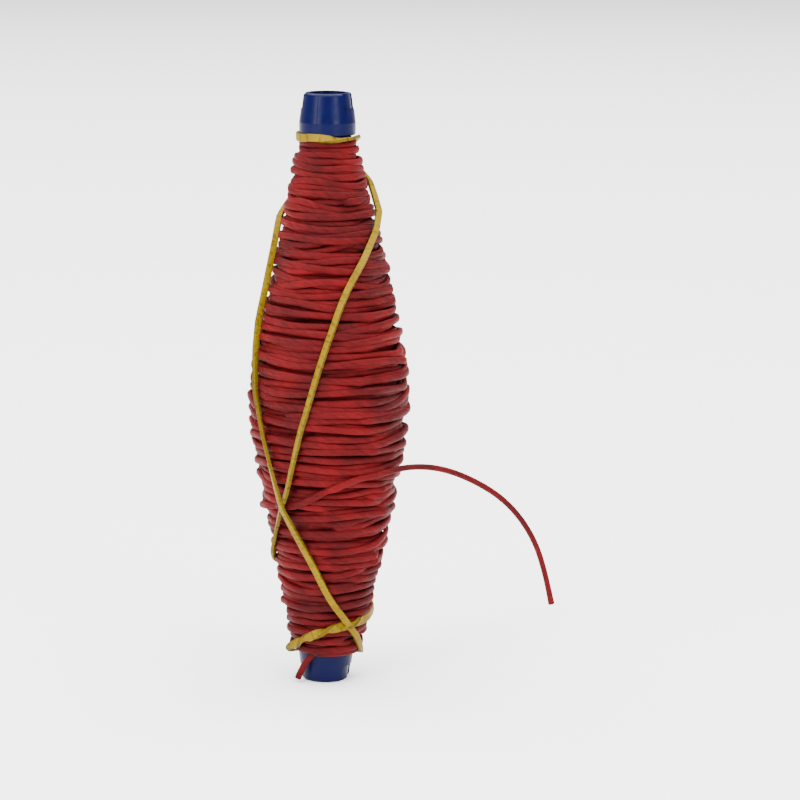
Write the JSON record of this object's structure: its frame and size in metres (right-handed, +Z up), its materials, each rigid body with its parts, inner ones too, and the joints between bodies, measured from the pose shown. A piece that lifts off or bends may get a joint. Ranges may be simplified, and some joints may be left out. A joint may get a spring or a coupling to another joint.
{
  "type": "chalk line reel",
  "caption": "Hollow moulded core tube wound to a spindle shape with twisted chalk line, its turns held by a rubber band that runs from end to end.",
  "frame": {"origin": "centre of the core tube's lower end face, on the axis of its bore", "axes": "+Z up along the tube, through the winding; -Y is the side that the band crosses and +X the side that the line's free end leaves from"},
  "size_m": [0.1058, 0.0551, 0.2],
  "materials": {
    "core_plastic": "satin moulded",
    "chalk_line": "twisted cotton, chalked",
    "natural_rubber": "satin cut rubber"
  },
  "bodies": {
    "root": {"core_tube": "core_plastic", "line_winding": "chalk_line", "line_tail": "chalk_line", "line_start": "chalk_line", "rubber_band": "natural_rubber"}
  },
  "joints": []
}
